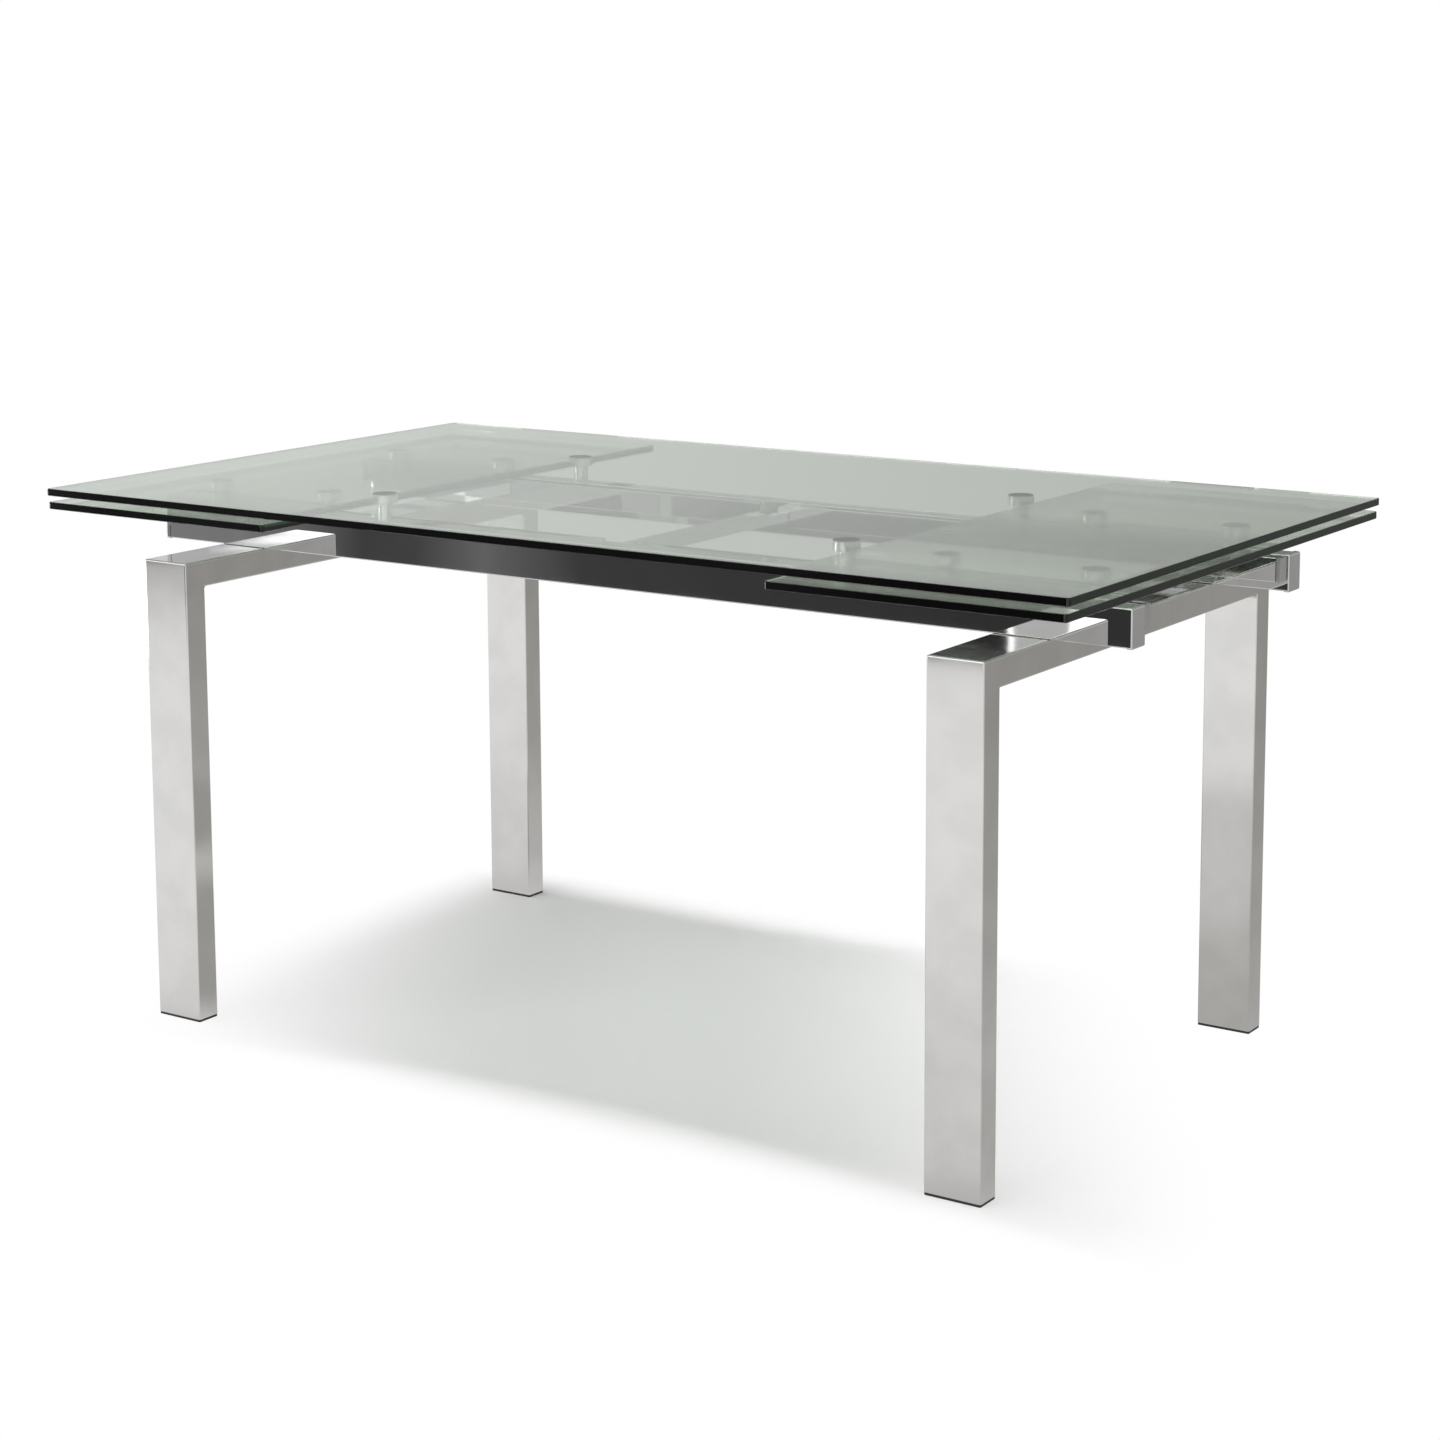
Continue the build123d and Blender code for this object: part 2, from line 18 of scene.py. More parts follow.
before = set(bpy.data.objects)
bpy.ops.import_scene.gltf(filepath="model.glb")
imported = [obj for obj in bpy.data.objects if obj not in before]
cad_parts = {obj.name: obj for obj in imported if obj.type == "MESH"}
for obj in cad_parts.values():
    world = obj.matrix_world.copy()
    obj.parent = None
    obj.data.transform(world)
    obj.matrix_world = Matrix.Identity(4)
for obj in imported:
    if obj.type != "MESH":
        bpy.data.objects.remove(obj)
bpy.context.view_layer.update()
WHITE = (1.0, 1.0, 1.0, 1.0)

# Sheets of the studio and reach of the camera, in metres
FLOOR_SIZE = 400.0
MIRRORED_SIZE = 60.0
MIRRORED_LIFT = 0.002
CAMERA_REACH = 1000.0

# Painted reflections: the boards glow with these greys and show only in mirrors
# Greys of the dark boards and of the rim board, each with its share of the reach along X
BOARD_REACH = (-3.7, -1.1)
DARK_GREYS = (
    (0.0, 0.26),
    (0.11, 0.25),
    (0.28, 0.068),
    (0.35, 0.075),
    (0.44, 0.17),
    (0.56, 0.06),
    (1.0, 0.042),
)
RIM_GREYS = ((0.0, 0.24), (0.06, 0.16), (0.3, 0.19), (0.46, 0.13), (0.74, 0.12), (0.88, 0.17), (1.0, 0.09))

# Painted light and shade: a glowing floor that only polished metal mirrors
# What polished metal mirrors of the floor: white at the start of the reach along a heading, grey at its end
MIRROR_HEADING = (0.55, 0.83, 0.0)
MIRROR_REACH = (-1.6, 2.8)
PAINTED_MIRROR_LIGHT = ((0.0, 1.0), (0.16, 0.9), (0.22, 0.77), (0.3, 0.76), (0.43, 0.35), (0.6, 0.14), (1.0, 0.0))

# Painted shadows in that floor: middle, full within, gone beyond, and depth
PAINTED_MIRROR_SHADOWS = (
    ((-0.35, -0.07, 0.0), 0.25, 0.5, 0.85),
    ((2.2, -3.25, 0.0), 0.5, 1.3, 0.6),
    ((-3.43, -3.22, 0.0), 0.2, 1.3, 0.5),
    ((0.25, 0.48, 0.0), 0.15, 0.35, 0.7),
    ((0.76, -0.21, 0.0), 0.1, 0.35, 0.4),
    ((0.18, -0.58, 0.0), 0.12, 0.4, 0.24),
)

# Greys of the sky from the horizon up, at the left and right ends of its reach across the view
SKY_REACH = (-0.14, 0.21)
LEFT_SKY = ((0.0, 1.0), (0.07, 1.0), (0.12, 0.73), (0.2, 0.72), (0.5, 0.5), (1.0, 0.6))
RIGHT_SKY = ((0.0, 1.0), (0.07, 1.0), (0.12, 0.46), (0.2, 0.44), (0.5, 0.4), (1.0, 0.6))

# Boards and flags: paint, middle, width, height, and turn about the upright in degrees. All of them glow
# and show only in mirrors, the flags through glass too, as painted reflections. The rails mirror the front
# and back boards, and the glass edges the rim and side boards. The first two flags paint over the front
# light's reflection in the right beam, and the other two over its reflection in the left glass. The strip
# puts a painted highlight on the turned steel.
BOARDS = {
    "front": ("dark", (-3.75, -3.2, 0.05), 6.26, 0.1, 0.0),
    "rim": ("rim", (-3.75, -3.2, 0.2), 6.26, 0.2, 0.0),
    "flag_dark": ("dark", (-1.125, -3.2, 1.225), 0.25, 0.95, 0.0),
    "flag_pale": ("pale", (-0.9125, -3.2, 1.225), 0.145, 0.95, 0.0),
    "flag_near": ("pale", (-1.03, -0.5, 0.76), 0.18, 0.12, 0.0),
    "flag_end": ("pale", (-1.28, -0.5, 0.8), 0.24, 0.2, 0.0),
    "back": ("dark", (-3.05, 3.2, 0.375), 7.9, 0.75, 0.0),
    "side": ("grey", (2.0, 2.7, 0.355), 2.2, 0.3, 90.0),
    "strip": ("bright", (-2.45, -1.55, 0.4), 0.25, 0.6, -45.0),
}


# Sizes and colours that a user would change
def colour(label, note, value):
    """A colour setting."""
    return FloatVectorProperty(name=label, description=note, subtype="COLOR", size=3, min=0.0, max=1.0,
                               default=value)


def place(label, note, value):
    """A place setting, in metres."""
    return FloatVectorProperty(name=label, description=note, subtype="TRANSLATION", unit="LENGTH", size=3,
                               default=value)


def heading(label, note, value):
    """A direction setting."""
    return FloatVectorProperty(name=label, description=note, subtype="DIRECTION", size=3, default=value)


def length(label, note, value):
    """A length setting, in metres."""
    return FloatProperty(name=label, description=note, unit="LENGTH", subtype="DISTANCE", default=value)


def share(label, note, value):
    """A setting from 0 to 1."""
    return FloatProperty(name=label, description=note, subtype="FACTOR", min=0.0, max=1.0, default=value)


def number(label, note, value):
    """A plain number setting."""
    return FloatProperty(name=label, description=note, default=value)


def angle(label, note, degrees):
    """An angle setting, given in degrees."""
    return FloatProperty(name=label, description=note, unit="ROTATION", subtype="ANGLE",
                         default=math.radians(degrees))


class TableFinishes(bpy.types.PropertyGroup):
    """Colours and polish of the table's materials."""

    top_tint: colour("Top tint", "What the top's glass lets through", (0.93, 0.985, 0.90))
    leaf_tint: colour("Leaf tint", "What the leaves' glass lets through", (0.93, 0.955, 0.90))
    glass_body: colour("Glass body", "What the body of the glass lets through, by colour", (0.10, 0.42, 0.16))
    glass_density: number("Glass density", "How strongly the body of the glass takes up light", 8.0)
    glass_index: number("Glass index", "How much the glass bends light", 1.52)
    glass_haze: share("Glass haze", "Most roughness that wipe marks give the glass", 0.006)
    tube_steel: colour("Tube steel", "Polished steel of the legs and beams", (0.68, 0.674, 0.664))
    tube_polish: share("Tube roughness", "Roughness of the legs and beams", 0.06)
    tube_wave: share("Tube waves", "How wavy the legs and beams are", 0.14)
    tube_smudge: share("Tube smudges", "How far smudges change the colour of the legs and beams", 0.032)
    rail_steel: colour("Rail steel", "Mirror steel of the rails, caps, bar and channels", (0.68, 0.68, 0.69))
    rail_polish: share("Rail roughness", "Roughness of the rails", 0.015)
    rail_wave: share("Rail waves", "How wavy the rails are", 0.03)
    disc_steel: colour("Disc steel", "Satin steel of the posts, discs and bosses", (0.74, 0.74, 0.74))
    disc_polish: share("Disc roughness", "Roughness of the posts, discs and bosses", 0.2)
    slide_steel: colour("Slide steel", "Drawn steel of the slide bars", (0.70, 0.70, 0.70))
    screw_steel: colour("Screw steel", "Zinc of the screws and bolts", (0.55, 0.56, 0.58))
    foot_black: colour("Foot black", "Moulded plastic of the feet", (0.012, 0.012, 0.012))
    cap_grey: colour("Cap grey", "Moulded plastic of the slide caps", (0.30, 0.30, 0.30))
    nylon: colour("Nylon", "Waxy plastic of the shoes and glides", (0.80, 0.80, 0.76))
    pad: colour("Bonding pad", "Pads between discs and glass", (0.07, 0.075, 0.07))


class TableStudio(bpy.types.PropertyGroup):
    """Camera, light and boards around the table."""

    camera_place: place("Camera", "Where the camera stands", (2.304, -3.357, 1.341))
    camera_turn: angle("Camera turn", "Turn of the view round the table from straight in front", 34.096)
    camera_dip: angle("Camera dip", "How far the camera looks down", 8.471)
    camera_roll: angle("Camera roll", "Lean of the camera", -0.289)
    camera_lens: number("Lens", "Focal length in millimetres on a 36 mm frame", 75.0)
    camera_shift: number("Shift", "Lens shift as a share of the frame", -0.15)
    floor_white: share("Floor", "Grey of the floor's paint", 0.92)
    floor_lift: share("Floor lift", "Least share of plain white in the floor that is seen", 0.08)
    shadow_middle: length("Shadow middle", "How far right of the table's middle the shadow is darkest", -0.1)
    shadow_start: length("Shadow fade start", "How far from there the shadow starts to fade", 0.1)
    shadow_end: length("Shadow fade end", "How far from there the shadow is gone", 0.75)
    shadow_line: length("Shadow line", "How far behind the table's middle the shadow's own lies", 0.02)
    shadow_edge: length("Shadow edge", "How far in front of or behind that line the shadow fades", 0.34)
    shadow_rim: length("Shadow rim", "How far in front of or behind that line the shadow is gone", 0.5)
    # Painted shade: the floor that glass shows glows dimmer far from the middle
    glass_near: length("Glass near", "How far from the middle the floor dims, seen through glass", 0.9)
    glass_far: length("Glass far", "How far from the middle that floor is at its dimmest", 1.6)
    painted_glass_floor_shade: share("Floor through glass", "Grey of the far floor as the glass shows it", 0.56)
    top_light: number("Top light", "Strength of the soft light above", 1.65)
    top_softness: angle("Top light softness", "How wide the top light is", 14.0)
    top_heading: heading("Top light heading", "Way that the top light shines", (0.13, 0.03, -1.0))
    front_light: number("Front light", "Strength of the soft light at the front left", 0.6)
    front_softness: angle("Front light softness", "How wide the front light is", 41.2)
    front_heading: heading("Front light heading", "Way that the front light shines", (0.427, 0.80, -0.41))
    # Glows of the strip, side board and flags: painted highlights and reflections, shown only in mirrors and
    # glass
    painted_highlight_glow: number("Strip light", "Strength of the strip that the turned steel mirrors", 9.0)
    side_grey: colour("Side grey", "Grey of the board that right-hand glass edges mirror", (0.29, 0.31, 0.28))
    flag_grey: colour("Flag grey", "Grey of the flags that hide the front light", (0.75, 0.75, 0.74))
    # Painted shade: the grey that the mirrored floor glows at the back right
    painted_far_shade: colour("Far grey", "Grey that polished metal mirrors at the back right", (0.38, 0.371, 0.355))


# Shader maths
class Wire:
    """An output socket of a node tree. Arithmetic on it adds Math nodes."""

    def __init__(self, sheet, socket):
        self.sheet = sheet
        self.socket = socket

    def maths(self, operation, first, second):
        """The result of a Math node."""
        return self.sheet.add("ShaderNodeMath", {"operation": operation}, {0: first, 1: second})

    def other(self, output):
        """Another output of the same node."""
        return Wire(self.sheet, self.socket.node.outputs[output])

    def __or__(self, other):
        return self.maths("MAXIMUM", self, other)

    def __abs__(self):
        return self.maths("ABSOLUTE", self, 0.0)

    def __add__(self, other):
        return self.maths("ADD", self, other)

    def __radd__(self, other):
        return self.maths("ADD", other, self)

    def __sub__(self, other):
        return self.maths("SUBTRACT", self, other)

    def __rsub__(self, other):
        return self.maths("SUBTRACT", other, self)

    def __mul__(self, other):
        return self.maths("MULTIPLY", self, other)

    def __rmul__(self, other):
        return self.maths("MULTIPLY", other, self)


def with_alpha(rgb):
    """A colour setting as a socket takes it."""
    return (*rgb, 1.0)


def scaled(rgb, factor):
    """A colour made darker or lighter by a factor."""
    return tuple(min(1.0, channel * factor) for channel in rgb)


class Sheet:
    """The node tree of a material or a world, cleared for a new finish."""

    def __init__(self, owner):
        owner.use_nodes = True
        self.owner = owner
        self.tree = owner.node_tree
        self.tree.nodes.clear()

    def add(self, kind, settings=None, sockets=None, output=0):
        """Add a node with its settings and socket values, and give one of its outputs."""
        node = self.tree.nodes.new(kind)
        for name, value in (settings or {}).items():
            if name == "stops":
                self.set_stops(node.color_ramp, value)
            else:
                setattr(node, name, value)
        for name, value in (sockets or {}).items():
            if isinstance(value, Wire):
                self.tree.links.new(value.socket, node.inputs[name])
            else:
                node.inputs[name].default_value = value
        return Wire(self, node.outputs[output]) if node.outputs else None

    @staticmethod
    def set_stops(ramp, stops):
        """Put a ramp's stops at their places, as grey values."""
        while len(ramp.elements) < len(stops):
            ramp.elements.new(1.0)
        for element, (position, grey) in zip(ramp.elements, stops):
            element.position = position
            element.color = (grey, grey, grey, 1.0)

    def along(self, way, coordinates="Object"):
        """How far a point lies along a heading, from the origin."""
        point = self.add("ShaderNodeTexCoord", output=coordinates)
        return self.add("ShaderNodeVectorMath", {"operation": "DOT_PRODUCT"}, {0: point, 1: way}, "Value")

    def span(self, value, start, end):
        """How far a value has come from start to end, from 0 to 1."""
        return self.add("ShaderNodeMapRange", None, {"Value": value, "From Min": start, "From Max": end})

    def smooth(self, value, start, end, low=0.0, high=1.0):
        """A value that goes softly from low to high between start and end."""
        return self.add("ShaderNodeMapRange", {"interpolation_type": "SMOOTHSTEP"}, {
            "Value": value, "From Min": start, "From Max": end, "To Min": low, "To Max": high})

    def ramp(self, stops, factor):
        """A grey that follows a ramp."""
        return self.add("ShaderNodeValToRGB", {"stops": stops}, {"Fac": factor})

    def blend(self, factor, low, high):
        """A colour between two, by a factor from 0 to 1."""
        sockets = {"Factor": factor, "A": low, "B": high}
        return self.add("ShaderNodeMix", {"data_type": "RGBA"}, sockets, "Result")


class Finish(Sheet):
    """A material made of one Principled shader, with patterns on the object's own coordinates."""

    def __init__(self, name):
        super().__init__(bpy.data.materials.new(name))
        self.point = self.add("ShaderNodeTexCoord", output="Object")

    def noise(self, scale, detail=3.0, stretch=None):
        """Noise from 0 to 1 with so many lumps a metre, stretched along each axis if asked."""
        point = self.point
        if stretch:
            point = self.add("ShaderNodeMapping", None, {"Vector": self.point, "Scale": stretch})
        return self.add("ShaderNodeTexNoise", None, {"Vector": point, "Scale": scale, "Detail": detail})

    def shades(self, rgb, low, high, factor):
        """A colour between two shades of itself, each given as a factor."""
        return self.blend(factor, with_alpha(scaled(rgb, low)), with_alpha(scaled(rgb, high)))

    def bump(self, height, strength, distance):
        """A normal raised by a height pattern."""
        sockets = {"Height": height, "Strength": strength, "Distance": distance}
        return self.add("ShaderNodeBump", None, sockets)

    def finish(self, sockets, volume=None):
        """Add the shader with these sockets and close the tree."""
        ends = {"Surface": self.add("ShaderNodeBsdfPrincipled", None, sockets)}
        if volume:
            ends["Volume"] = volume
        self.add("ShaderNodeOutputMaterial", None, ends)
        return self.owner


class Glow(Sheet):
    """A material of the studio that shines by itself."""

    def __init__(self, name):
        super().__init__(bpy.data.materials.new(name))

    def finish(self, rgb, strength=1.0):
        """Add the light and close the tree."""
        light = self.add("ShaderNodeEmission", None, {"Color": rgb, "Strength": strength})
        self.add("ShaderNodeOutputMaterial", None, {"Surface": light})
        return self.owner


# Finishes
def glass_finish(name, look, tint):
    """Clear float glass that turns green through its length, with faint wipe marks."""
    sheet = Finish(name)
    wipes = sheet.noise(scale=9.0, detail=4.0, stretch=(1.0, 3.0, 1.0))
    body = sheet.add("ShaderNodeVolumeAbsorption", None, {
        "Color": with_alpha(look.glass_body), "Density": look.glass_density})
    return sheet.finish({
        "Base Color": sheet.shades(tint, 0.995, 1.005, wipes),
        "Roughness": look.glass_haze * wipes,
        "IOR": look.glass_index,
        "Transmission Weight": 1.0,
    }, body)


def polished_finish(name, rgb, roughness, wave=0.0, smudge=0.02):
    """Polished steel: a little smudged and wavy, with fine polishing haze."""
    sheet = Finish(name)
    clouds = sheet.smooth(sheet.noise(scale=17.0, detail=5.0), 0.34, 0.66)
    haze = sheet.noise(scale=260.0, detail=2.0)
    swell = sheet.noise(scale=7.0, detail=1.0)
    return sheet.finish({
        "Base Color": sheet.shades(rgb, 1.0 - smudge, 1.0 + smudge, clouds),
        "Metallic": 1.0,
        "Roughness": roughness * (0.8 + 0.3 * clouds + 0.1 * haze),
        "Normal": sheet.bump(swell, wave, distance=0.004),
    })


def drawn_finish(name, rgb):
    """Drawn steel with fine lines along its length."""
    sheet = Finish(name)
    lines = sheet.noise(scale=900.0, stretch=(0.02, 1.0, 1.0))
    clouds = sheet.noise(scale=30.0)
    return sheet.finish({
        "Base Color": sheet.shades(rgb, 0.88, 1.06, 0.6 * lines + 0.4 * clouds),
        "Metallic": 1.0,
        "Roughness": 0.26 + 0.16 * lines,
        "Normal": sheet.bump(lines, strength=0.15, distance=0.0002),
    })


def zinc_finish(name, rgb):
    """Zinc plate with a faint crystal grain."""
    sheet = Finish(name)
    grain = sheet.noise(scale=420.0, detail=2.0)
    return sheet.finish({
        "Base Color": sheet.shades(rgb, 0.85, 1.08, grain),
        "Metallic": 1.0,
        "Roughness": 0.24 + 0.18 * grain,
    })


def moulded_finish(name, rgb, roughness, grain_scale):
    """Moulded plastic with a fine spark grain."""
    sheet = Finish(name)
    grain = sheet.noise(grain_scale)
    return sheet.finish({
        "Base Color": sheet.shades(rgb, 0.86, 1.12, grain),
        "Roughness": roughness + 0.12 * grain,
        "Normal": sheet.bump(grain, strength=0.25, distance=0.0002),
    })


def dress(material, *starts):
    """Give a material to every node whose name starts with one of these words."""
    found = [node for name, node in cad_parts.items() if name.startswith(starts)]
    if not found:
        raise RuntimeError(f"no node starts with {starts}")
    for node in found:
        for slot in node.material_slots:
            slot.material = material


# Operators for the table's parts
class TABLE_OT_glass(bpy.types.Operator):
    """Finish the top and both leaves as clear float glass"""

    bl_idname = "table.glass"
    bl_label = "Glass"

    def execute(self, context):
        look = context.scene.table_finishes
        dress(glass_finish("top_glass", look, look.top_tint), "top_glass")
        dress(glass_finish("leaf_glass", look, look.leaf_tint), "left_leaf_glass", "right_leaf_glass")
        return {"FINISHED"}


class TABLE_OT_portals(bpy.types.Operator):
    """Finish the legs, beams, welds and feet"""

    bl_idname = "table.portals"
    bl_label = "Portals"

    def execute(self, context):
        look = context.scene.table_finishes
        tube = polished_finish("polished_tube", look.tube_steel, look.tube_polish, look.tube_wave,
                               look.tube_smudge)
        dress(tube, "leg_", "end_beam_", "corner_welds")
        dress(moulded_finish("black_foot", look.foot_black, roughness=0.5, grain_scale=700.0), "foot_")
        return {"FINISHED"}


class TABLE_OT_rails(bpy.types.Operator):
    """Finish the rails, their caps, the bar between them, the channels and all the screws"""

    bl_idname = "table.rails"
    bl_label = "Rails"

    def execute(self, context):
        look = context.scene.table_finishes
        mirror = polished_finish("mirror_rail", look.rail_steel, look.rail_polish, look.rail_wave)
        dress(mirror, "rail_front", "rail_back", "rail_cap_", "centre_cross_bar", "slide_channel_")
        dress(zinc_finish("zinc_plate", look.screw_steel), "rail_bolts", "rail_nuts", "top_post_screws",
              "channel_screws", "stop_screws", "left_boss_screws", "right_boss_screws")
        return {"FINISHED"}


class TABLE_OT_discs(bpy.types.Operator):
    """Finish the posts, discs, bosses and bonding pads"""

    bl_idname = "table.discs"
    bl_label = "Posts and discs"

    def execute(self, context):
        look = context.scene.table_finishes
        turned = polished_finish("turned_steel", look.disc_steel, look.disc_polish)
        dress(turned, "top_post_front", "top_post_back", "top_discs", "left_boss_inner", "left_boss_outer",
              "right_boss_inner", "right_boss_outer")
        pad = moulded_finish("bonding_pad", look.pad, roughness=0.6, grain_scale=500.0)
        dress(pad, "top_disc_pads", "left_leaf_pads", "right_leaf_pads")
        return {"FINISHED"}


class TABLE_OT_slides(bpy.types.Operator):
    """Finish the slide bars, their caps, shoes and glides"""

    bl_idname = "table.slides"
    bl_label = "Slides"

    def execute(self, context):
        look = context.scene.table_finishes
        dress(drawn_finish("drawn_steel", look.slide_steel), "left_slide_bar", "right_slide_bar")
        cap = moulded_finish("grey_cap", look.cap_grey, roughness=0.35, grain_scale=900.0)
        dress(cap, "left_slide_cap", "right_slide_cap")
        nylon = moulded_finish("nylon", look.nylon, roughness=0.4, grain_scale=300.0)
        dress(nylon, "mouth_glides", "left_slide_shoes", "right_slide_shoes")
        return {"FINISHED"}


# Studio
def plane(name, middle, size, turn=(0.0, 0.0, 0.0)):
    """A flat sheet on the stage, at the origin with its place in its mesh."""
    bpy.ops.object.select_all(action="DESELECT")
    bpy.ops.mesh.primitive_plane_add(size=1.0, location=middle, rotation=turn)
    sheet = bpy.context.object
    sheet.name = name
    sheet.scale = (*size, 1.0)
    bpy.ops.object.transform_apply(location=True, rotation=True, scale=True)
    return sheet


def right_of_view(turn):
    """The level heading to the right of a view that is turned round the table."""
    return (math.cos(turn), math.sin(turn), 0.0)


def floor_paint(studio):
    """Matt white paint that takes shadows, and fades to plain white away from the table's middle. Seen
    through glass, the far floor glows a painted dimmer grey.
    """
    sheet = Sheet(bpy.data.materials.new("floor_paint"))
    grey = studio.floor_white
    paint = sheet.add("ShaderNodeBsdfDiffuse", None, {"Color": (grey, grey, grey, 1.0)})
    aside = abs(sheet.along(right_of_view(studio.camera_turn)) - studio.shadow_middle)
    fade = sheet.smooth(aside, studio.shadow_start, studio.shadow_end, low=studio.floor_lift)
    behind = abs(sheet.along((0.0, 1.0, 0.0)) - studio.shadow_line)
    rim = sheet.smooth(behind, studio.shadow_edge, studio.shadow_rim)
    ray = sheet.add("ShaderNodeLightPath", output="Is Camera Ray")
    through = ray.other("Is Transmission Ray")
    seen = ray | ray.other("Is Glossy Ray") | through
    point = sheet.add("ShaderNodeTexCoord", output="Object")
    away = sheet.add("ShaderNodeVectorMath", {"operation": "LENGTH"}, {0: point}, "Value")
    # Painted shade: seen through glass, the floor glows dimmer from near to far
    far = through * sheet.smooth(away, studio.glass_near, studio.glass_far)
    white = sheet.add("ShaderNodeEmission", None, {"Strength": 1.0 - (1.0 - studio.painted_glass_floor_shade) * far})
    both = sheet.add("ShaderNodeMixShader", None, {0: seen * (fade | rim | far), 1: paint, 2: white})
    sheet.add("ShaderNodeOutputMaterial", None, {"Surface": both})
    return sheet.owner


def mirrored_floor(studio):
    """Glow of painted light and shade: white at the front left, warm grey at the back right, with painted
    shadow under the table.
    """
    sheet = Glow("mirrored_floor")
    level = sheet.ramp(PAINTED_MIRROR_LIGHT, sheet.span(sheet.along(MIRROR_HEADING), *MIRROR_REACH))
    point = sheet.add("ShaderNodeTexCoord", output="Object")
    # Each pool darkens the glow as a painted shadow
    for middle, full, gone, depth in PAINTED_MIRROR_SHADOWS:
        away = sheet.add("ShaderNodeVectorMath", {"operation": "DISTANCE"}, {0: point, 1: middle}, "Value")
        level = level * sheet.smooth(away, full, gone, low=1.0 - depth)
    return sheet.finish(sheet.blend(level, with_alpha(studio.painted_far_shade), WHITE))


def plain_board(name, grey, strength=1.0):
    """Board that glows one plain grey, as a painted reflection."""
    return Glow(name).finish(with_alpha(grey), strength)


def graded_board(name, greys):
    """Board whose glow changes along its length, which paints lighter and darker bands into reflections."""
    sheet = Glow(name)
    return sheet.finish(sheet.ramp(greys, sheet.span(sheet.along((1.0, 0.0, 0.0)), *BOARD_REACH)))


def reflection_only(sheet):
    """Let a board show as a mirror image and in no other way."""
    sheet.visible_camera = False
    sheet.visible_diffuse = False
    sheet.visible_transmission = False
    sheet.visible_volume_scatter = False
    sheet.visible_shadow = False


def sun(name, strength, softness, toward):
    """A soft light without end, shining along a direction."""
    bpy.ops.object.light_add(type="SUN")
    lamp = bpy.context.object
    lamp.name = name
    lamp.data.energy = strength
    lamp.data.angle = softness
    lamp.rotation_euler = Vector(toward).to_track_quat("-Z", "Y").to_euler()
    return lamp


def studio_world(scene, turn):
    """Sky that is white at the horizon and dimmer above, dimmer still to the right of the view."""
    scene.world = bpy.data.worlds.new("studio")
    sheet = Sheet(scene.world)
    rise = sheet.along((0.0, 0.0, 1.0), "Generated")
    dimming = sheet.span(sheet.along(right_of_view(turn), "Generated"), *SKY_REACH)
    level = sheet.blend(dimming, sheet.ramp(LEFT_SKY, rise), sheet.ramp(RIGHT_SKY, rise))
    sky = sheet.add("ShaderNodeBackground", None, {"Color": level})
    sheet.add("ShaderNodeOutputWorld", None, {"Surface": sky})


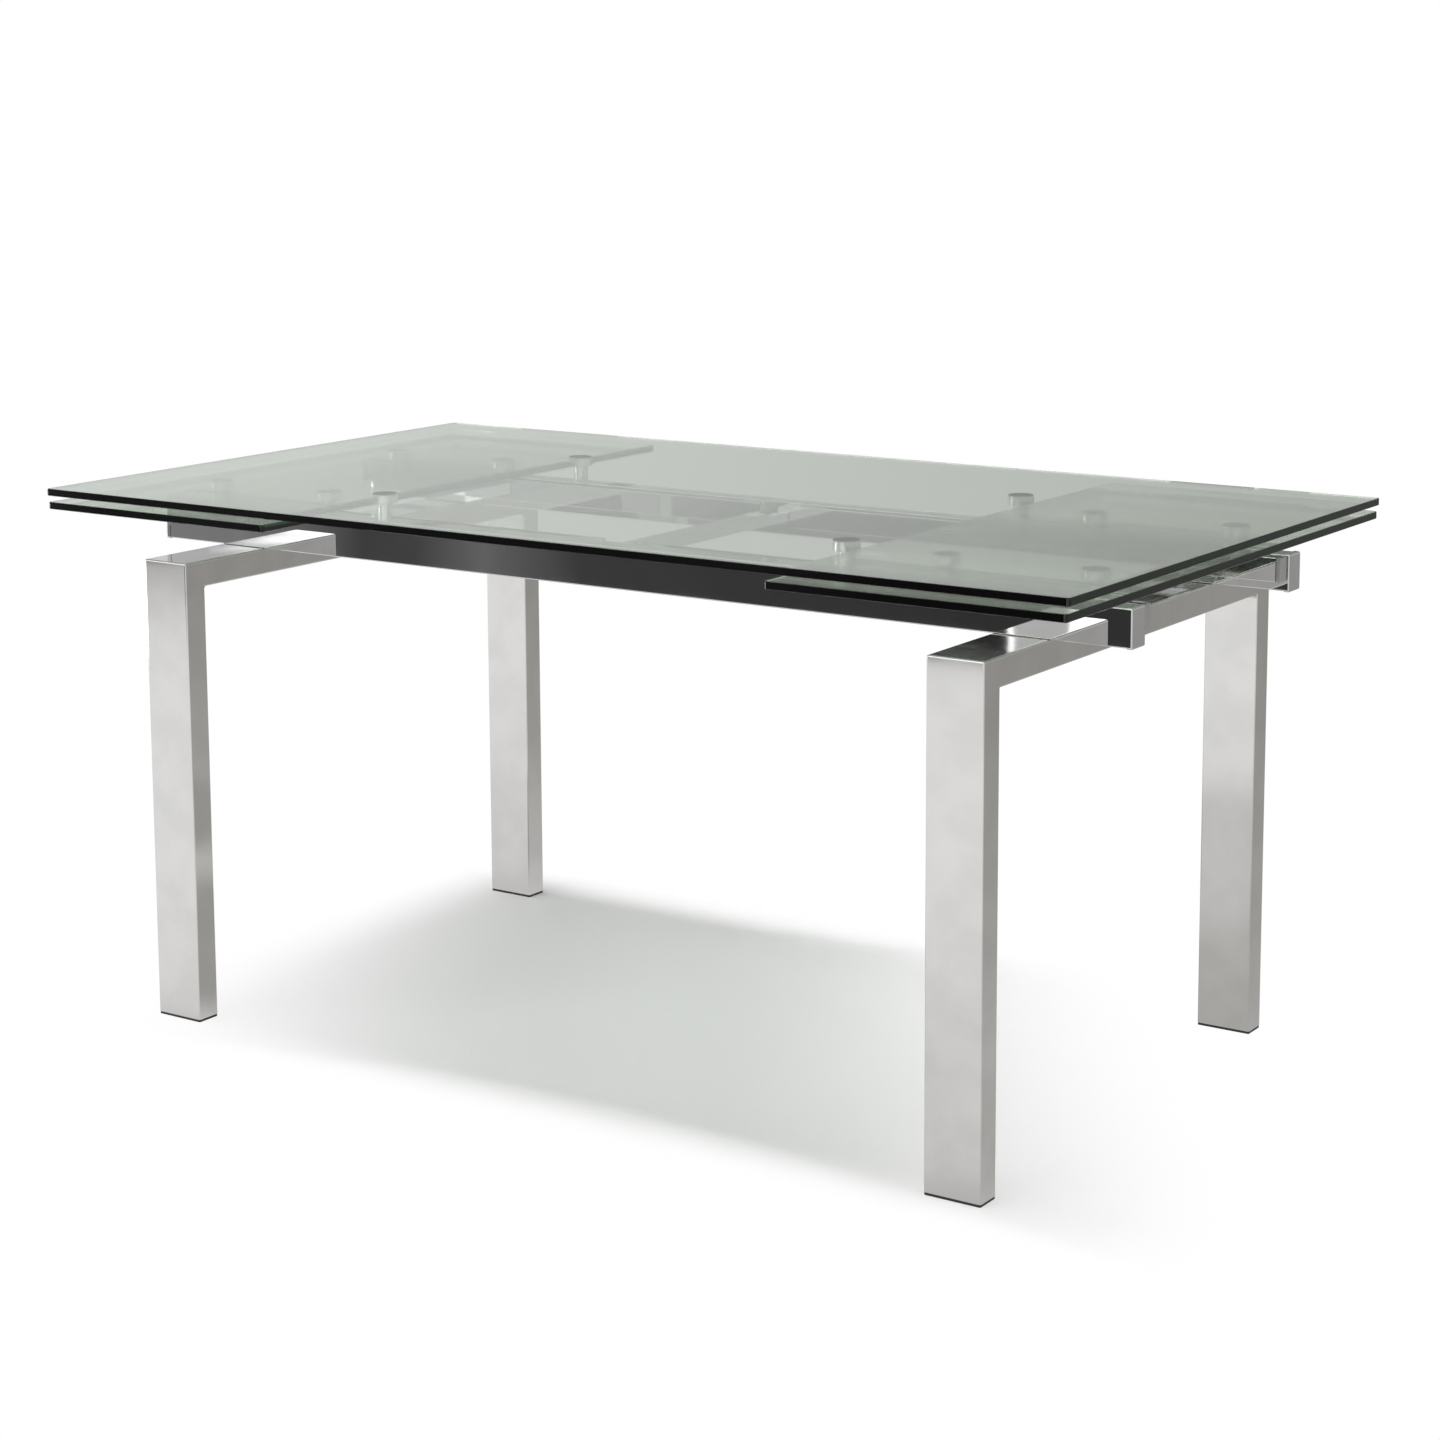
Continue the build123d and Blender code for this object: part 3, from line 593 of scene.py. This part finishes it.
class TABLE_OT_studio(bpy.types.Operator):
    """Set the floor, the boards, the light and the camera"""

    bl_idname = "table.studio"
    bl_label = "Studio"

    def execute(self, context):
        studio = context.scene.table_studio
        self.lay_floors(studio)
        self.stand_boards(studio)
        self.hang_lights(studio)
        studio_world(context.scene, studio.camera_turn)
        self.aim_camera(context.scene, studio)
        context.scene.view_settings.view_transform = "Standard"
        return {"FINISHED"}

    @staticmethod
    def lay_floors(studio):
        """Lay the floor, and just above it a glowing one of painted light and shade that polished metal
        mirrors instead.
        """
        floor = plane("floor", (0.0, 0.0, 0.0), (FLOOR_SIZE, FLOOR_SIZE))
        floor.data.materials.append(floor_paint(studio))
        painted_reflection_sheet = plane("mirrored_floor", (0.0, 0.0, MIRRORED_LIFT), (MIRRORED_SIZE, MIRRORED_SIZE))
        painted_reflection_sheet.data.materials.append(mirrored_floor(studio))
        reflection_only(painted_reflection_sheet)

    @staticmethod
    def stand_boards(studio):
        """Stand the glowing boards and flags round the table, which show as painted reflections. Flags also
        show through glass.
        """
        paints = {
            "dark": graded_board("dark_board", DARK_GREYS),
            "rim": graded_board("rim_board", RIM_GREYS),
            "grey": plain_board("grey_board", studio.side_grey),
            "pale": plain_board("pale_flag", studio.flag_grey),
            # The strip glows and paints a highlight on the turned steel
            "bright": plain_board("bright_strip", (1.0, 1.0, 1.0), studio.painted_highlight_glow),
        }
        upright = math.radians(90.0)
        for word, (paint, middle, width, height, turn) in BOARDS.items():
            board = plane(f"board_{word}", middle, (width, height), (upright, 0.0, math.radians(turn)))
            board.data.materials.append(paints[paint])
            reflection_only(board)
            board.visible_transmission = word.startswith("flag")

    @staticmethod
    def hang_lights(studio):
        """Hang the light above and the one at the front left."""
        top = sun("top_light", studio.top_light, studio.top_softness, studio.top_heading)
        # Without importance sampling this light passes no glass, so the panes cast a shadow
        top.data.cycles.use_multiple_importance_sampling = False
        sun("front_light", studio.front_light, studio.front_softness, studio.front_heading)

    @staticmethod
    def aim_camera(scene, studio):
        """Stand the camera where the photograph was taken."""
        turn, dip, roll = studio.camera_turn, studio.camera_dip, studio.camera_roll
        back = Vector((math.sin(turn) * math.cos(dip), -math.cos(turn) * math.cos(dip), math.sin(dip)))
        right = Vector((0.0, 0.0, 1.0)).cross(back).normalized()
        up = back.cross(right)
        axes = Matrix((right, up, back)).transposed() @ Matrix.Rotation(roll, 3, "Z")
        bpy.ops.object.camera_add(location=studio.camera_place)
        camera = bpy.context.object
        camera.rotation_euler = axes.to_euler()
        camera.data.lens = studio.camera_lens
        camera.data.shift_y = studio.camera_shift
        camera.data.clip_end = CAMERA_REACH
        scene.camera = camera


class TABLE_PT_sidebar(bpy.types.Panel):
    """Lists the steps that dress the table"""

    bl_idname = "TABLE_PT_sidebar"
    bl_label = "Dining table"
    bl_space_type = "VIEW_3D"
    bl_region_type = "UI"
    bl_category = "Table"

    def draw(self, context):
        for step in STEPS:
            self.layout.operator(step.bl_idname)


STEPS = (TABLE_OT_glass, TABLE_OT_portals, TABLE_OT_rails, TABLE_OT_discs, TABLE_OT_slides, TABLE_OT_studio)
CLASSES = (TableFinishes, TableStudio, *STEPS, TABLE_PT_sidebar)


def register():
    """Add the settings, operators and panel."""
    for part in CLASSES:
        bpy.utils.register_class(part)
    bpy.types.Scene.table_finishes = PointerProperty(type=TableFinishes)
    bpy.types.Scene.table_studio = PointerProperty(type=TableStudio)


def unregister():
    """Remove them again."""
    del bpy.types.Scene.table_studio
    del bpy.types.Scene.table_finishes
    for part in reversed(CLASSES):
        bpy.utils.unregister_class(part)


def main():
    """Dress the table."""
    register()
    bpy.ops.table.glass()
    bpy.ops.table.portals()
    bpy.ops.table.rails()
    bpy.ops.table.discs()
    bpy.ops.table.slides()
    bpy.ops.table.studio()


if __name__ == "__main__":
    main()
